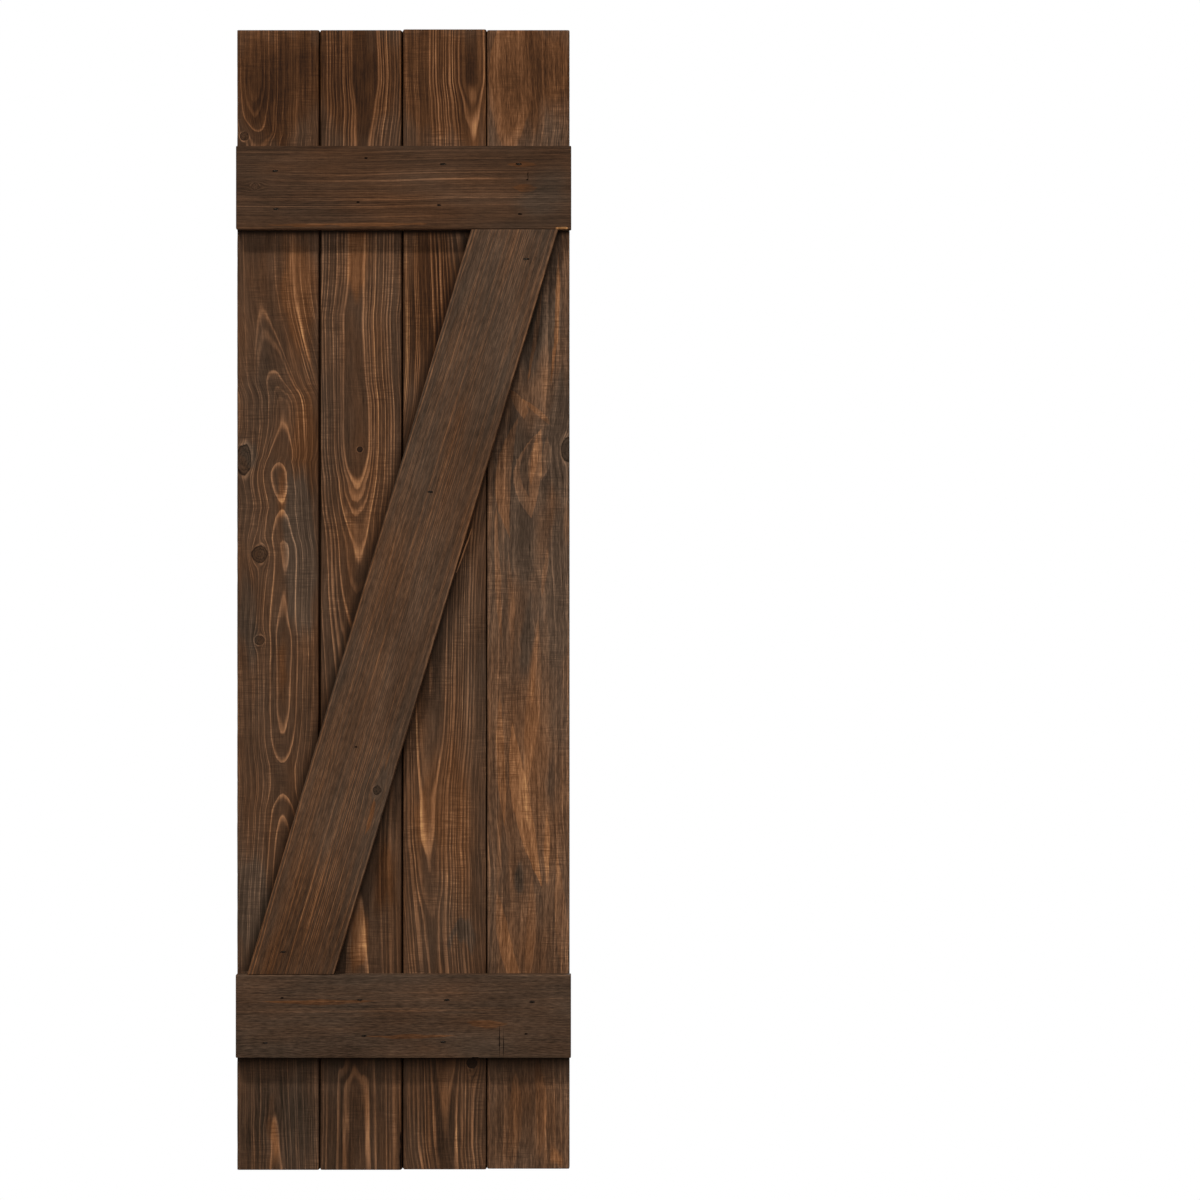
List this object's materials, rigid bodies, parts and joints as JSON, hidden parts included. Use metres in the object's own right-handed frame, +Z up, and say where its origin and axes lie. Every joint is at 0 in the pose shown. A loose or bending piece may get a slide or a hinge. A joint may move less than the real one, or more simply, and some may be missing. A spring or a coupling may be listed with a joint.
{
  "type": "board-and-batten window shutter",
  "caption": "Decorative wooden window shutter: upright boards held by two level battens and a diagonal brace, flat at the back to lie on a wall.",
  "frame": {"origin": "middle of the flat back face, where it lies on the wall", "axes": "+X to the right as seen from the front, +Y out of the back into the wall, +Z up"},
  "size_m": [0.3575, 0.0381, 1.22],
  "materials": {
    "stained_boards": "satin",
    "stained_battens": "satin",
    "stained_brace": "satin"
  },
  "bodies": {
    "root": {"left_outer_board": "stained_boards", "left_inner_board": "stained_boards", "right_inner_board": "stained_boards", "right_outer_board": "stained_boards", "top_batten": "stained_battens", "bottom_batten": "stained_battens", "diagonal_brace": "stained_brace"}
  },
  "joints": []
}
